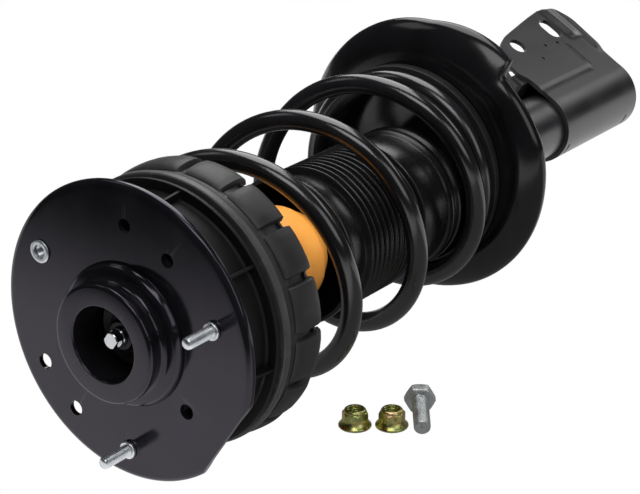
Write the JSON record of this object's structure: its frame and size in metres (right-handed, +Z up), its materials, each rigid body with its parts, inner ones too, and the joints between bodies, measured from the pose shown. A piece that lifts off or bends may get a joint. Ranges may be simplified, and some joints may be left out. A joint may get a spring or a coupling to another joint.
{
  "type": "suspension strut assembly",
  "caption": "Coil-over suspension strut with a round top plate, thrust bearing, coil spring, dust boot, lower spring seat and knuckle bracket, and loose fasteners beside it.",
  "frame": {"origin": "centre of the top plate's mounting face, on the strut's axis", "axes": "+X along the strut from the top plate to the knuckle bracket, +Z up as the strut lies on its side"},
  "size_m": [0.6285, 0.2277, 0.2175],
  "materials": {
    "gloss_black": "gloss",
    "satin_black": "satin",
    "powder_coat": "satin",
    "rubber": "matte",
    "filled_plastic": "satin",
    "dark_plastic": "satin",
    "orange_foam": "satin",
    "zinc": "bright zinc",
    "yellow_zinc": "yellow zinc",
    "steel": "ground",
    "bare_steel": "plain",
    "chrome": "polished"
  },
  "bodies": {
    "top_mount": {"mount_plate": "gloss_black", "mount_boss": "gloss_black", "mount_stud_1": "zinc", "mount_stud_2": "zinc", "threaded_insert": "zinc", "bearing_housing": "filled_plastic", "mount_bushing": "rubber", "inner_sleeve": "steel", "rod_washer": "zinc", "rod_nut": "zinc", "bearing_upper_race": "steel", "piston_rod": "chrome", "piston": "steel", "piston_band": "dark_plastic", "piston_nut": "zinc", "rebound_stop": "rubber", "bump_stop": "orange_foam"},
    "spring_seat": {"bearing_cage": "dark_plastic", "bearing_lower_race": "steel", "upper_spring_seat": "filled_plastic", "upper_insulator": "rubber", "coil_spring": "powder_coat", "dust_boot": "dark_plastic"},
    "strut": {"strut_tube": "satin_black", "strike_cap": "dark_plastic", "rod_seal": "rubber", "rod_guide": "steel", "pressure_tube": "bare_steel", "base_valve": "steel", "lower_spring_seat": "gloss_black", "lower_insulator": "rubber", "knuckle_bracket": "satin_black", "bracket_brace": "satin_black"},
    "nut_1": {"flange_nut_1": "yellow_zinc"},
    "nut_2": {"flange_nut_2": "yellow_zinc"},
    "bolt": {"loose_bolt": "zinc"}
  },
  "joints": [
    {"name": "steering_swivel", "type": "hinge", "parent": "top_mount", "child": "spring_seat", "pos_m": [0, 0, 0], "axis": [1, 0, 0], "continuous": true},
    {"name": "suspension_travel", "type": "slide", "parent": "spring_seat", "child": "strut", "axis": [-1, 0, 0], "range_m": [0, 0.085], "stiffness_N_per_m": 22000, "springref_m": -0.018, "deforming": ["coil_spring", "dust_boot"]},
    {"name": "nut_1_slide", "type": "slide", "parent": "top_mount", "child": "nut_1", "axis": [-0.807, -0.5906, 0], "range_m": [0, 0.1]},
    {"name": "nut_2_slide", "type": "slide", "parent": "top_mount", "child": "nut_2", "axis": [-0.807, -0.5906, 0], "range_m": [0, 0.1]},
    {"name": "bolt_slide", "type": "slide", "parent": "top_mount", "child": "bolt", "axis": [0.5908, -0.8068, 0], "range_m": [0, 0.1]}
  ]
}
